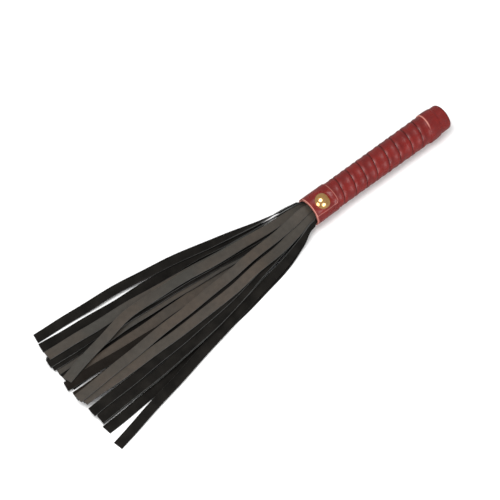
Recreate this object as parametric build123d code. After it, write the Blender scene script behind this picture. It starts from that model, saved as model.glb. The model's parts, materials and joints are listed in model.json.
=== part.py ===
from build123d import *
import math
import os

# Short whisk of leather strips on a leather-covered wooden handle, lying on a flat surface.
# While it is being built, X runs along the handle towards the pommel and is zero at the mouth
# of the collar, where the strips come out towards -X. Y is across and Z is up from the surface.
# At the end everything is moved so that the origin is under the middle of the whole object.

# Handle, in millimetres
HANDLE_LENGTH = 179.0
AXIS_HEIGHT = 15.5
GRIP_RADIUS = 14.2
GRIP_END_RADIUS = 14.5
GRIP_END = 160.0
COLLAR_RADIUS = 15.5
BAND_RADIUS = 15.5
BAND_INNER_RADIUS = 14.6
BAND_MIDDLE = 159.4
BAND_WIDTH = 14.4
BAND_TURN = 9.3
BAND_TILT = 4.3
POMMEL_RADIUS = 14.0
POMMEL_FILLET = 3.0
CAP_SKIVED_RADIUS = 13.4
CAP_FULL_FROM = 169.6
CORE_FILLET = 2.5
LEATHER = 1.4
CORE_RADIUS = 12.6
SPIGOT_RADIUS = 6.5
FIT_GAP = 0.05

# Collar: a leather band round the roots of the strips, its free end lapped over the top
COLLAR_LENGTH = 28.0
COLLAR_INNER_RADIUS = 13.4
MOUTH_DEPTH = 4.0
LAP_RADIUS = 16.5
LAP_FRONT_ANGLE = 58.0
LAP_BACK_ANGLE = 20.0
LAP_RAMP_ANGLE = 55.0

# Stud that holds the lap: its direction is measured from straight up towards -Y
STUD_X = 13.4
STUD_ANGLE = 20.0
STUD_RADIUS = 8.2
STUD_HEIGHT = 4.8
STUD_RIM = 0.7
NAIL_RADIUS = 1.5
NAIL_TIP_RADIUS_FROM_AXIS = 2.5

# Roots of the strips, wound on the spigot, bound with thread and tacked
THREAD_RADIUS = 0.45
THREAD_TURNS = 3
THREAD_FIRST_X = 19.0
TACK_COUNT = 3
TACK_X = 8.5
TACK_RADIUS = 0.7
TACK_HEAD_RADIUS = 2.2
TACK_HEAD_HEIGHT = 0.5
TACK_DEPTH = 3.0

# Strips: each is cut to one width, and starts free of the mouth so that it can turn there
STRIP_WIDTH = 10.8
STRIP_THICKNESS = 1.4
STRIP_START = 8.0
STRIP_STATIONS = (STRIP_START, 26.0, 48.0, 78.0, 115.0, 160.0, 205.0, 252.0)
LAYER_GAP = 0.25
SIDE_GAP = 0.2
STRIP_SAG = 0.8
NECK_LENGTH = 60.0
NECK_LEAN = 14.0
STACK_BASE = 4.6
FLAT_GROUPS = ("back", "front")
ON_EDGE_BASE = 10.7

# Plan of each strip, from the lowest to the topmost: its name, its length from the mouth, and
# how far its middle lies across the handle's line at these distances from the mouth.
SPREAD_AT = (0.0, 50.0, 120.0, 200.0, 300.0)
STRIPS = (
    ("back_fall_2", 296, (5.6, 20.0, 32.0, 42.5, 50.0)),
    ("back_fall_3", 297, (12.9, 24.0, 39.5, 45.5, 55.5)),
    ("back_fall_1", 294, (14.9, 28.0, 46.0, 59.2, 68.3)),
    ("front_fall_1", 303, (-7.0, -25.0, -38.5, -49.0, -55.5)),
    ("front_fall_2", 305, (-13.2, -25.5, -38.0, -54.5, -75.0)),
    ("bed_fall_1", 300, (5.6, 6.0, 10.5, 13.5, 17.0)),
    ("bed_fall_2", 300, (5.6, 5.8, 3.5, 3.0, 4.5)),
    ("bed_fall_3", 297, (5.6, 5.8, 6.0, 6.5, 10.5)),
    ("bed_fall_4", 301, (-5.6, -5.8, -8.5, -10.5, -13.5)),
    ("bed_fall_5", 304, (-5.6, -5.8, -8.0, -9.0, -8.5)),
    ("bed_fall_6", 305, (-5.6, -5.8, -7.0, -4.5, 5.0)),
    ("bed_fall_7", 301, (-5.6, -15.0, -30.0, -39.3, -44.0)),
    ("bed_fall_8", 300, (-5.6, -9.5, -21.5, -28.6, -34.0)),
    ("bed_fall_9", 300, (-5.6, -7.0, -14.0, -16.5, -17.5)),
    ("bed_fall_10", 302, (-5.6, -15.5, -31.0, -39.8, -44.4)),
    ("bed_fall_11", 304, (-5.6, -12.5, -23.5, -29.2, -34.0)),
    ("bed_fall_12", 300, (5.6, 12.5, 23.5, 33.5, 38.0)),
    ("bed_fall_13", 300, (5.6, 6.2, 13.5, 20.0, 25.5)),
    ("bed_fall_14", 302, (5.6, 7.5, 17.5, 24.5, 31.0)),
    ("bed_fall_15", 303, (5.6, 10.5, 20.0, 28.0, 35.0)),
    ("bed_fall_16", 299, (5.6, 12.5, 23.0, 33.0, 42.5)),
    ("top_fall_1", 303, (-6.5, -15.5, -21.0, -21.5, -20.5)),
    ("top_fall_2", 300, (6.5, 11.5, 20.0, 26.5, 10.0)),
    ("top_fall_3", 306, (-0.5, -3.5, -6.5, -9.5, -15.0)),
)

# Strips that leave the collar on edge, and how far they lean at each station and at the tip
ON_EDGE = {
    "back_fall_3": (-78, -68, -48, -26, -10, 0, 0, 0, 0),
    "back_fall_1": (-78, -64, -44, -22, -6, 0, 0, 0, 0),
    "front_fall_2": (78, 66, 54, 45, 32, 10, 0, 0, 0),
}


def along_handle(solid):
    """Turns a solid made along Z to lie along X, at the height of the handle's axis."""
    return Pos(0, 0, AXIS_HEIGHT) * Rot(0, 90, 0) * solid


def rod(radius, start, end):
    """A round bar along the handle, from one X to another."""
    upright = Cylinder(radius, end - start, align=(Align.CENTER, Align.CENTER, Align.MIN))
    return along_handle(Pos(0, 0, start) * upright)


def tube(outer, inner, start, end):
    """A tube along the handle, from one X to another."""
    return rod(outer, start, end) - rod(inner, start - 1, end + 1)


def toward(angle, solid):
    """Turns a solid that stands up from the handle's axis towards -Y by an angle."""
    return Pos(0, 0, AXIS_HEIGHT) * Rot(angle, 0, 0) * solid


def stud_hole(depth_from, depth_to, radius=NAIL_RADIUS + FIT_GAP):
    """The stud's hole, between two distances from the handle's axis."""
    height = depth_to - depth_from
    hole = Pos(STUD_X, 0, depth_from + height / 2) * Cylinder(radius, height)
    return toward(STUD_ANGLE, hole)


def tack_angle(number):
    """The tacks stand round the spigot, clear of the stud."""
    return STUD_ANGLE + 90 + number * 180 / (TACK_COUNT - 1)


def make_handle_core():
    """Turned wooden core: a shank, a spigot for the strips' roots and a rounded pommel."""
    spigot = Pos(0, 0, MOUTH_DEPTH) * Cylinder(
        SPIGOT_RADIUS, COLLAR_LENGTH, align=(Align.CENTER, Align.CENTER, Align.MIN)
    )
    shank_length = HANDLE_LENGTH - LEATHER - COLLAR_LENGTH - FIT_GAP
    shank = Pos(0, 0, COLLAR_LENGTH) * Cylinder(
        CORE_RADIUS, shank_length, align=(Align.CENTER, Align.CENTER, Align.MIN)
    )
    shank = fillet(shank.edges().sort_by(Axis.Z)[-1], CORE_FILLET)
    core = along_handle(spigot + shank)
    core -= stud_hole(NAIL_TIP_RADIUS_FROM_AXIS, SPIGOT_RADIUS + 2)
    for number in range(TACK_COUNT):
        bore = Pos(TACK_X, 0, SPIGOT_RADIUS) * Cylinder(TACK_RADIUS + FIT_GAP, 2 * TACK_DEPTH)
        core -= toward(tack_angle(number), bore)
    return core


def make_header_roll():
    """The strips' uncut roots, wound round the spigot in layers."""
    groove_end = THREAD_FIRST_X + 2 * THREAD_TURNS * THREAD_RADIUS
    roll = tube(COLLAR_INNER_RADIUS - FIT_GAP, SPIGOT_RADIUS + FIT_GAP, MOUTH_DEPTH, COLLAR_LENGTH - 0.2)
    waist = tube(
        COLLAR_INNER_RADIUS + 1,
        COLLAR_INNER_RADIUS - 2 * THREAD_RADIUS - 2 * FIT_GAP,
        THREAD_FIRST_X - FIT_GAP,
        groove_end + FIT_GAP,
    )
    roll = roll - waist - stud_hole(SPIGOT_RADIUS - 1, COLLAR_INNER_RADIUS + 1)
    head_seat = COLLAR_INNER_RADIUS - TACK_HEAD_HEIGHT - 2 * FIT_GAP
    for number in range(TACK_COUNT):
        bore = Pos(TACK_X, 0, COLLAR_INNER_RADIUS / 2 + SPIGOT_RADIUS / 2) * Cylinder(
            TACK_RADIUS + FIT_GAP, 2 * COLLAR_INNER_RADIUS - 2 * SPIGOT_RADIUS
        )
        seat = Pos(TACK_X, 0, head_seat) * Cylinder(
            TACK_HEAD_RADIUS + FIT_GAP, 4, align=(Align.CENTER, Align.CENTER, Align.MIN)
        )
        roll = roll - toward(tack_angle(number), bore) - toward(tack_angle(number), seat)
    return roll


def make_binding_thread():
    """Waxed thread whipped round the roots: its turns lie side by side in the roll's waist."""
    turns = []
    ring_radius = COLLAR_INNER_RADIUS - THREAD_RADIUS - FIT_GAP
    for turn in range(THREAD_TURNS):
        x = THREAD_FIRST_X + (2 * turn + 1) * THREAD_RADIUS
        ring = Torus(ring_radius, THREAD_RADIUS - FIT_GAP / 2)
        turns.append(along_handle(Pos(0, 0, x) * ring))
    return Compound(children=turns)


def make_header_tacks():
    """Flat-headed tacks that pin the roots to the spigot."""
    tacks = []
    head_top = COLLAR_INNER_RADIUS - 2 * FIT_GAP
    shank_length = head_top - TACK_HEAD_HEIGHT - SPIGOT_RADIUS + TACK_DEPTH - 0.5
    for number in range(TACK_COUNT):
        head = Pos(TACK_X, 0, head_top - TACK_HEAD_HEIGHT) * Cylinder(
            TACK_HEAD_RADIUS, TACK_HEAD_HEIGHT, align=(Align.CENTER, Align.CENTER, Align.MIN)
        )
        shank = Pos(TACK_X, 0, head_top - TACK_HEAD_HEIGHT) * Cylinder(
            TACK_RADIUS, shank_length, align=(Align.CENTER, Align.CENTER, Align.MAX)
        )
        # the head is cut to the round of the roll, so that it stays under the collar
        tack = (head + shank) & Pos(TACK_X, 0, 0) * Rot(0, 90, 0) * Cylinder(head_top, 2 * TACK_HEAD_RADIUS + 1)
        tacks.append(toward(tack_angle(number), tack))
    return Compound(children=tacks)


def ring_point(radius, angle):
    """A point in the handle's cross-section, its angle measured from straight up towards -Y."""
    turned = math.radians(angle)
    return (0, -radius * math.sin(turned), AXIS_HEIGHT + radius * math.cos(turned))


def make_collar_band():
    """Leather band that closes over the roots: a full turn, its end lapped over the top."""
    band = tube(COLLAR_RADIUS, COLLAR_INNER_RADIUS, 0, COLLAR_LENGTH)
    lap_middle = (LAP_FRONT_ANGLE - LAP_BACK_ANGLE) / 2
    ramp_end = LAP_BACK_ANGLE + LAP_RAMP_ANGLE
    ramp_middle = (LAP_BACK_ANGLE + ramp_end) / 2
    lap_outline = [
        ThreePointArc(
            ring_point(LAP_RADIUS, LAP_FRONT_ANGLE),
            ring_point(LAP_RADIUS, lap_middle),
            ring_point(LAP_RADIUS, -LAP_BACK_ANGLE),
        ),
        Line(ring_point(LAP_RADIUS, -LAP_BACK_ANGLE), ring_point(COLLAR_RADIUS + 0.35, -ramp_middle)),
        Line(ring_point(COLLAR_RADIUS + 0.35, -ramp_middle), ring_point(COLLAR_RADIUS - 0.3, -ramp_end)),
        Line(ring_point(COLLAR_RADIUS - 0.3, -ramp_end), ring_point(COLLAR_INNER_RADIUS + 1, -ramp_middle)),
        Line(ring_point(COLLAR_INNER_RADIUS + 1, -ramp_middle), ring_point(COLLAR_INNER_RADIUS + 1, lap_middle)),
        Line(ring_point(COLLAR_INNER_RADIUS + 1, lap_middle), ring_point(COLLAR_RADIUS - 0.4, LAP_FRONT_ANGLE)),
        Line(ring_point(COLLAR_RADIUS - 0.4, LAP_FRONT_ANGLE), ring_point(LAP_RADIUS, LAP_FRONT_ANGLE)),
    ]
    lap = extrude(make_face(lap_outline), amount=COLLAR_LENGTH, dir=(1, 0, 0))
    lap -= rod(COLLAR_INNER_RADIUS + 1, -1, COLLAR_LENGTH + 1)
    return band + lap - stud_hole(COLLAR_INNER_RADIUS - 1, LAP_RADIUS + 1)


def make_stud_cap():
    """Brass dome of the stud: a low rim and a round crown, with a blind hole for the nail."""
    crown_height = STUD_HEIGHT - STUD_RIM
    crown_radius = (STUD_RADIUS**2 + crown_height**2) / (2 * crown_height)
    crown_centre = STUD_RIM + crown_height - crown_radius
    rim = Cylinder(STUD_RADIUS, STUD_RIM, align=(Align.CENTER, Align.CENTER, Align.MIN))
    ball = Pos(0, 0, crown_centre) * Sphere(crown_radius)
    keep = Pos(0, 0, STUD_RIM) * Cylinder(
        STUD_RADIUS, STUD_HEIGHT, align=(Align.CENTER, Align.CENTER, Align.MIN)
    )
    socket = Cylinder(NAIL_RADIUS + FIT_GAP, 4, align=(Align.CENTER, Align.CENTER, Align.CENTER))
    dome = rim + (ball & keep) - socket
    return toward(STUD_ANGLE, Pos(STUD_X, 0, LAP_RADIUS + FIT_GAP) * dome)


def make_stud_nail():
    """Steel nail of the stud, driven through the lap and the roots into the spigot."""
    top = LAP_RADIUS + 2 - FIT_GAP
    tip = NAIL_TIP_RADIUS_FROM_AXIS + FIT_GAP
    point_length = 2.5
    shank = Pos(0, 0, tip + point_length) * Cylinder(
        NAIL_RADIUS, top - tip - point_length, align=(Align.CENTER, Align.CENTER, Align.MIN)
    )
    point = Pos(0, 0, tip) * Cone(
        0.3, NAIL_RADIUS, point_length, align=(Align.CENTER, Align.CENTER, Align.MIN)
    )
    return toward(STUD_ANGLE, Pos(STUD_X, 0, 0) * (shank + point))


def make_grip_wrap():
    """Leather strap wound round the shank: a sleeve that thickens slightly to the pommel."""
    start = COLLAR_LENGTH + 0.1
    length = GRIP_END - 0.1 - start
    sleeve = Pos(0, 0, start) * Cone(
        GRIP_RADIUS, GRIP_END_RADIUS, length, align=(Align.CENTER, Align.CENTER, Align.MIN)
    )
    return along_handle(sleeve) - rod(CORE_RADIUS + FIT_GAP, 0, HANDLE_LENGTH)


def make_wrap_end():
    """Last turn of the strap, laid over the joint of the grip and the cap, a little aslant."""
    ring = tube(BAND_RADIUS, BAND_INNER_RADIUS, BAND_MIDDLE - BAND_WIDTH, BAND_MIDDLE + BAND_WIDTH)
    slab = Box(BAND_WIDTH, 3 * BAND_RADIUS, 3 * BAND_RADIUS)
    return ring & Pos(BAND_MIDDLE, 0, AXIS_HEIGHT) * Rot(0, BAND_TILT, -BAND_TURN) * slab


def make_pommel_cap():
    """Leather cap over the pommel: skived thin under the end band, with a rounded rim."""
    start = GRIP_END + 0.1
    full = Pos(0, 0, CAP_FULL_FROM) * Cylinder(
        POMMEL_RADIUS, HANDLE_LENGTH - CAP_FULL_FROM, align=(Align.CENTER, Align.CENTER, Align.MIN)
    )
    full = fillet(full.edges().sort_by(Axis.Z)[-1], POMMEL_FILLET)
    skived = Pos(0, 0, start) * Cylinder(
        CAP_SKIVED_RADIUS, CAP_FULL_FROM - start, align=(Align.CENTER, Align.CENTER, Align.MIN)
    )
    hollow = Pos(0, 0, start) * Cylinder(
        CORE_RADIUS + FIT_GAP,
        HANDLE_LENGTH - LEATHER - start,
        align=(Align.CENTER, Align.CENTER, Align.MIN),
    )
    hollow = fillet(hollow.edges().sort_by(Axis.Z)[-1], CORE_FILLET)
    return along_handle(full + skived - hollow)


def smooth_step(value):
    """Eases from 0 to 1."""
    held = min(max(value, 0.0), 1.0)
    return held * held * (3 - 2 * held)


def offset_at(offsets, distance):
    """A strip's offset across the handle: a smooth curve through its plan's values."""
    last = len(SPREAD_AT) - 1
    span = 0
    while span < last - 1 and distance > SPREAD_AT[span + 1]:
        span += 1
    slopes = []
    for point in (span, span + 1):
        before = max(point - 1, 0)
        after = min(point + 1, last)
        rise = (offsets[after] - offsets[before]) / (SPREAD_AT[after] - SPREAD_AT[before])
        slopes.append(rise)
    length = SPREAD_AT[span + 1] - SPREAD_AT[span]
    t = (distance - SPREAD_AT[span]) / length
    start_part = (1 + 2 * t) * (1 - t) ** 2 * offsets[span] + t * (1 - t) ** 2 * length * slopes[0]
    end_part = t * t * (3 - 2 * t) * offsets[span + 1] + t * t * (t - 1) * length * slopes[1]
    return start_part + end_part


def stations_of(length):
    """Distances from the mouth at which a strip's cross-section is set."""
    return STRIP_STATIONS + (float(length),)


def lean_at(name, offsets, station):
    """How far a strip leans: the stack is a low roof at the neck, on a flat lowest layer."""
    if name in ON_EDGE:
        return ON_EDGE[name][station]
    if name.startswith(FLAT_GROUPS):
        return 0.0
    in_neck = 1 - smooth_step(STRIP_STATIONS[min(station, len(STRIP_STATIONS) - 1)] / NECK_LENGTH)
    side = (offsets[0] > 0) - (offsets[0] < 0)
    return -side * NECK_LEAN * in_neck


class Section:
    """Cross-section of a strip at one station: a thin rectangle that may lean."""

    def __init__(self, distance, middle, lean):
        self.distance = distance
        self.y = middle
        self.z = 0.0
        self.turned = math.radians(lean)
        self.low_y = middle - STRIP_WIDTH / 2 * math.cos(self.turned)
        self.high_y = middle + STRIP_WIDTH / 2 * math.cos(self.turned)
        self.face_offset = STRIP_THICKNESS / 2 / math.cos(self.turned)

    def height_at(self, y):
        """Height of the strip's middle surface at an offset, held to its two edges."""
        held = min(max(y, self.low_y), self.high_y)
        return self.z + (held - self.y) * math.tan(self.turned)

    def lowest(self):
        """How far the strip's lowest edge lies below its middle."""
        turned = abs(self.turned)
        return STRIP_WIDTH / 2 * math.sin(turned) + STRIP_THICKNESS / 2 * math.cos(turned)

    def face(self):
        """The cross-section as a face across the handle."""
        corners = []
        for across, up in ((-1, -1), (1, -1), (1, 1), (-1, 1)):
            a = across * STRIP_WIDTH / 2
            b = up * STRIP_THICKNESS / 2
            y = self.y + a * math.cos(self.turned) - b * math.sin(self.turned)
            z = self.z + a * math.sin(self.turned) + b * math.cos(self.turned)
            corners.append((-self.distance, y, z))
        return make_face(Polyline(*corners, close=True))


def cross(one, other):
    """Whether two cross-sections lie over each other, or pass too close beside each other."""
    apart = max(one.low_y - other.high_y, other.low_y - one.high_y)
    return apart < SIDE_GAP


def rest_height(upper, lower):
    """Lowest height at which one cross-section clears another that lies under it."""
    left = max(upper.low_y, lower.low_y)
    right = min(upper.high_y, lower.high_y)
    if left > right:
        left = right = (left + right) / 2
    gap = upper.face_offset + lower.face_offset + LAYER_GAP
    needed = []
    for y in (left, right):
        above_middle = upper.height_at(y) - upper.z
        needed.append(lower.height_at(y) - above_middle + gap)
    return max(needed)


def stiffen(sections):
    """Leather bridges a dip: no cross-section hangs far below the chord of the two beside it."""
    for before, section, after in zip(sections, sections[1:], sections[2:]):
        along = (section.distance - before.distance) / (after.distance - before.distance)
        chord = before.z + (after.z - before.z) * along
        section.z = max(section.z, chord - STRIP_SAG)


def settle_strips():
    """Lays the strips down one by one: each rests on those below it, or on the surface.

    Returns the cross-sections of each strip. Two strips count as crossing at a station if they
    cross there or at a station beside it, so that the straight run between two stations stays
    clear as well.
    """
    count = len(STRIP_STATIONS) + 1
    settled = {}
    for name, length, offsets in STRIPS:
        sections = []
        for station, distance in enumerate(stations_of(length)):
            middle = offset_at(offsets, distance)
            sections.append(Section(distance, middle, lean_at(name, offsets, station)))
        for station, section in enumerate(sections):
            base = ON_EDGE_BASE if name in ON_EDGE else STACK_BASE
            base *= 1 - smooth_step(section.distance / NECK_LENGTH)
            heights = [base + section.lowest()]
            nearby = range(max(station - 1, 0), min(station + 2, count))
            for other in settled.values():
                if any(cross(sections[i], other[i]) for i in nearby):
                    heights.append(rest_height(section, other[station]))
            section.z = max(heights)
        stiffen(sections)
        settled[name] = sections
    return settled


def make_strip(sections):
    """One strip: straight runs of leather through its cross-sections."""
    return loft([section.face() for section in sections], ruled=True)


def make_all():
    """Every sub-part, by the name of its node."""
    made = {
        "handle_core": make_handle_core(),
        "grip_wrap": make_grip_wrap(),
        "wrap_end_band": make_wrap_end(),
        "pommel_cap": make_pommel_cap(),
        "header_roll": make_header_roll(),
        "binding_thread": make_binding_thread(),
        "header_tacks": make_header_tacks(),
        "collar_band": make_collar_band(),
        "stud_cap": make_stud_cap(),
        "stud_nail": make_stud_nail(),
    }
    for name, sections in settle_strips().items():
        made[name] = make_strip(sections)
    return made


parts = make_all()
boxes = [solid.bounding_box() for solid in parts.values()]
low_x, low_y = min(box.min.X for box in boxes), min(box.min.Y for box in boxes)
high_x, high_y = max(box.max.X for box in boxes), max(box.max.Y for box in boxes)
to_origin = Pos(-(low_x + high_x) / 2, -(low_y + high_y) / 2, 0)
print("mouth of the collar is at x, y =", -(low_x + high_x) / 2, -(low_y + high_y) / 2)

os.makedirs("parts", exist_ok=True)
for name, solid in parts.items():
    export_step(to_origin * solid, f"parts/{name}.step")
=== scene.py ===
import json
import math

import bmesh
import bpy
import numpy as np
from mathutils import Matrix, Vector


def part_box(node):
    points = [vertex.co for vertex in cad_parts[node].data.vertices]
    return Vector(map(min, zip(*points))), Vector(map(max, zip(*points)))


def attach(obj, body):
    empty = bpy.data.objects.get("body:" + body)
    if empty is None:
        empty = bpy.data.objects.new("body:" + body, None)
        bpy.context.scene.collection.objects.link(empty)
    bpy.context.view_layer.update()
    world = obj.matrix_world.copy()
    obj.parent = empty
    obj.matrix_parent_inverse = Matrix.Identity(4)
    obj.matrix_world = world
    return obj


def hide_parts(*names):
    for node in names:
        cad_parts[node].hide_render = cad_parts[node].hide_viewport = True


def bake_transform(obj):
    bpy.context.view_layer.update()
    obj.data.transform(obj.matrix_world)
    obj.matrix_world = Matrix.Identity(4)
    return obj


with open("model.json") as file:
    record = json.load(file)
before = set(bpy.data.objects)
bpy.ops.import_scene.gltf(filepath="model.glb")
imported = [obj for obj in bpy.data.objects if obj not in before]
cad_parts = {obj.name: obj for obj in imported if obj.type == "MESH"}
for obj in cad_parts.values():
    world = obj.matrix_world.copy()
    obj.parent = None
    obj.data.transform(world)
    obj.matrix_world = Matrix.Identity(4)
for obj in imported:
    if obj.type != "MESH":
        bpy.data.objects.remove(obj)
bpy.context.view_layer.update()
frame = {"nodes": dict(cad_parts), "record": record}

# ---------------------------------------------------------------------------------------------
# Handle core: a hardwood bar turned on a lathe, with a thinner spigot for the strips' roots.
# It is bare wood, hidden by the leather, and everything else on the handle is fixed to it.
# ---------------------------------------------------------------------------------------------

mouth_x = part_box("collar_band")[0].x
collar_end_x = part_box("collar_band")[1].x
wrap_low, wrap_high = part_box("grip_wrap")
axis_y = (wrap_low.y + wrap_high.y) / 2
axis_z = (wrap_low.z + wrap_high.z) / 2


def put(tree, kind, settings=None, **sockets):
    """Adds a node, with its sockets set or linked by name."""
    node = tree.nodes.new(kind)
    for name, value in (settings or {}).items():
        setattr(node, name, value)
    for name, value in sockets.items():
        socket = node.inputs[name.replace("_", " ")]
        if isinstance(value, bpy.types.NodeSocket):
            tree.links.new(value, socket)
        else:
            socket.default_value = value
    return node


def reckon(tree, operation, *values, clamp=False):
    """Adds a Math node and returns its result."""
    node = tree.nodes.new("ShaderNodeMath")
    node.operation = operation
    node.use_clamp = clamp
    for socket, value in zip(node.inputs, values):
        if isinstance(value, bpy.types.NodeSocket):
            tree.links.new(value, socket)
        else:
            socket.default_value = value
    return node.outputs[0]


def tint(tree, factor, first, second, mix="MIX"):
    """Adds a colour Mix node and returns its result."""
    node = tree.nodes.new("ShaderNodeMix")
    node.data_type = "RGBA"
    node.blend_type = mix
    for socket, value in ((node.inputs[0], factor), (node.inputs[6], first), (node.inputs[7], second)):
        if isinstance(value, bpy.types.NodeSocket):
            tree.links.new(value, socket)
        else:
            socket.default_value = value
    return node.outputs[2]


def spread(tree, value, low, high, new_low, new_high):
    """Maps a value from one range to another, held to the new one."""
    node = put(tree, "ShaderNodeMapRange", Value=value, From_Min=low, From_Max=high,
               To_Min=new_low, To_Max=new_high)
    return node.outputs[0]


def start_material(name):
    """A new material with its node tree and its shader."""
    material = bpy.data.materials.new(name)
    material.use_nodes = True
    tree = material.node_tree
    return material, tree, tree.nodes["Principled BSDF"]


def feed(tree, shader, colour=None, roughness=None, height=None, depth=0.0):
    """Links what varies over a surface to the shader: colour, roughness and a bump's height."""
    if colour is not None:
        tree.links.new(colour, shader.inputs["Base Color"])
    if roughness is not None:
        tree.links.new(roughness, shader.inputs["Roughness"])
    if height is not None:
        bump = put(tree, "ShaderNodeBump", Height=height, Distance=depth)
        tree.links.new(bump.outputs[0], shader.inputs["Normal"])


def object_place(tree, stretch=(1, 1, 1)):
    """The place on the piece in metres, stretched along its axes."""
    place = put(tree, "ShaderNodeTexCoord").outputs["Object"]
    return put(tree, "ShaderNodeMapping", Vector=place, Scale=stretch).outputs[0]


turned_wood, tree, shader = start_material("turned_wood")
along_grain = object_place(tree, (0.12, 1, 1))
rings = put(tree, "ShaderNodeTexWave", {"wave_type": "RINGS", "rings_direction": "X"},
            Vector=along_grain, Scale=90.0, Distortion=6.0, Detail=3.0, Detail_Scale=1.5).outputs["Fac"]
fibres = put(tree, "ShaderNodeTexNoise", Vector=object_place(tree, (0.05, 1, 1)),
             Scale=2600.0, Detail=4.0).outputs[0]
wood = tint(tree, rings, (0.42, 0.25, 0.12, 1), (0.62, 0.42, 0.23, 1))
wood = tint(tree, spread(tree, fibres, 0.45, 0.7, 0.0, 0.6), wood, (0.30, 0.17, 0.08, 1))
feed(tree, shader, wood, spread(tree, fibres, 0.3, 0.7, 0.5, 0.75), fibres, 0.0001)
frame["nodes"]["handle_core"].data.materials[0] = turned_wood

# ---------------------------------------------------------------------------------------------
# Roots: the uncut end of the strips' leather, rolled round the spigot, pinned with flat steel
# tacks and bound with waxed thread. The collar hides all of it.
# ---------------------------------------------------------------------------------------------


def make_hide_grain():
    """Node group for the face of leather: pebbled pores, fine creases and a slow mottle."""
    group = bpy.data.node_groups.new("hide_grain", "ShaderNodeTree")
    group.interface.new_socket("Vector", in_out="INPUT", socket_type="NodeSocketVector")
    for name in ("Pore Scale", "Mottle Scale"):
        group.interface.new_socket(name, in_out="INPUT", socket_type="NodeSocketFloat")
    for name in ("Height", "Pores", "Mottle"):
        group.interface.new_socket(name, in_out="OUTPUT", socket_type="NodeSocketFloat")
    given = group.nodes.new("NodeGroupInput")
    result = group.nodes.new("NodeGroupOutput")
    vector, pore_scale, mottle_scale = given.outputs[0], given.outputs[1], given.outputs[2]
    warp = put(group, "ShaderNodeTexNoise", Vector=vector, Scale=pore_scale, Detail=2.0)
    push = put(group, "ShaderNodeVectorMath", {"operation": "SCALE"},
               Vector=warp.outputs["Color"], Scale=0.0007)
    shifted = put(group, "ShaderNodeVectorMath", {"operation": "ADD"})
    group.links.new(vector, shifted.inputs[0])
    group.links.new(push.outputs[0], shifted.inputs[1])
    cells = put(group, "ShaderNodeTexVoronoi", {"feature": "DISTANCE_TO_EDGE"},
                Vector=shifted.outputs[0], Scale=pore_scale)
    pebble = spread(group, cells.outputs["Distance"], 0.0, 0.22, 0.0, 1.0)
    fine = put(group, "ShaderNodeTexNoise", Vector=vector, Scale=reckon(group, "MULTIPLY", pore_scale, 2.3),
               Detail=4.0, Roughness=0.6).outputs[0]
    height = reckon(group, "ADD", reckon(group, "MULTIPLY", pebble, 0.6), reckon(group, "MULTIPLY", fine, 0.7))
    mottle = put(group, "ShaderNodeTexNoise", Vector=vector, Scale=mottle_scale,
                 Detail=3.0, Roughness=0.55).outputs[0]
    for value, socket in zip((height, pebble, spread(group, mottle, 0.3, 0.7, 0.0, 1.0)), result.inputs):
        group.links.new(value, socket)
    return group


hide_grain = make_hide_grain()


def grain_on(tree, vector, pore_scale, mottle_scale):
    """Places the leather grain in a material and returns its height, pores and mottle."""
    node = tree.nodes.new("ShaderNodeGroup")
    node.node_tree = hide_grain
    tree.links.new(vector, node.inputs["Vector"])
    node.inputs["Pore Scale"].default_value = pore_scale
    node.inputs["Mottle Scale"].default_value = mottle_scale
    return node.outputs["Height"], node.outputs["Pores"], node.outputs["Mottle"]


root_leather, tree, shader = start_material("root_leather")
height, pores, mottle = grain_on(tree, object_place(tree), 1500.0, 60.0)
feed(tree, shader, tint(tree, mottle, (0.008, 0.007, 0.006, 1), (0.03, 0.026, 0.022, 1)),
     spread(tree, mottle, 0.0, 1.0, 0.65, 0.85), height, 0.0001)
frame["nodes"]["header_roll"].data.materials[0] = root_leather

waxed_thread, tree, shader = start_material("waxed_thread")
twist = put(tree, "ShaderNodeTexWave", {"wave_type": "BANDS", "bands_direction": "DIAGONAL"},
            Vector=object_place(tree), Scale=420.0, Distortion=1.5, Detail=2.0).outputs["Fac"]
feed(tree, shader, tint(tree, twist, (0.38, 0.31, 0.20, 1), (0.66, 0.57, 0.40, 1)),
     spread(tree, twist, 0.0, 1.0, 0.6, 0.42), twist, 0.0002)
frame["nodes"]["binding_thread"].data.materials[0] = waxed_thread

tack_steel, tree, shader = start_material("tack_steel")
drawn = put(tree, "ShaderNodeTexNoise", Vector=object_place(tree, (1, 1, 0.2)),
            Scale=1800.0, Detail=3.0).outputs[0]
shader.inputs["Metallic"].default_value = 1.0
feed(tree, shader, tint(tree, drawn, (0.36, 0.35, 0.34, 1), (0.62, 0.61, 0.60, 1)),
     spread(tree, drawn, 0.3, 0.7, 0.25, 0.5), drawn, 0.00005)
frame["nodes"]["header_tacks"].data.materials[0] = tack_steel
frame["nodes"]["stud_nail"].data.materials[0] = tack_steel

# ---------------------------------------------------------------------------------------------
# Grip: one long strap of red leather, wound edge to edge round the shank from the collar to the
# end band. Its skived edges dip into a dark groove and stand a little proud on each side of it.
# ---------------------------------------------------------------------------------------------

STRAP_PITCH = 0.01483
STRAP_GAP = 0.00014
STRAP_THICKNESS = 0.0014
FIRST_GROOVE = 0.0385
GROOVE_ANGLE = math.radians(24)
SHOULDER_HEIGHT = 0.00042
SHOULDER_INSET = 0.0030
SHOULDER_WIDTH = 0.0021
HAND_WAVER = 0.0016
RINGS_A_TURN = 72


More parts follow.
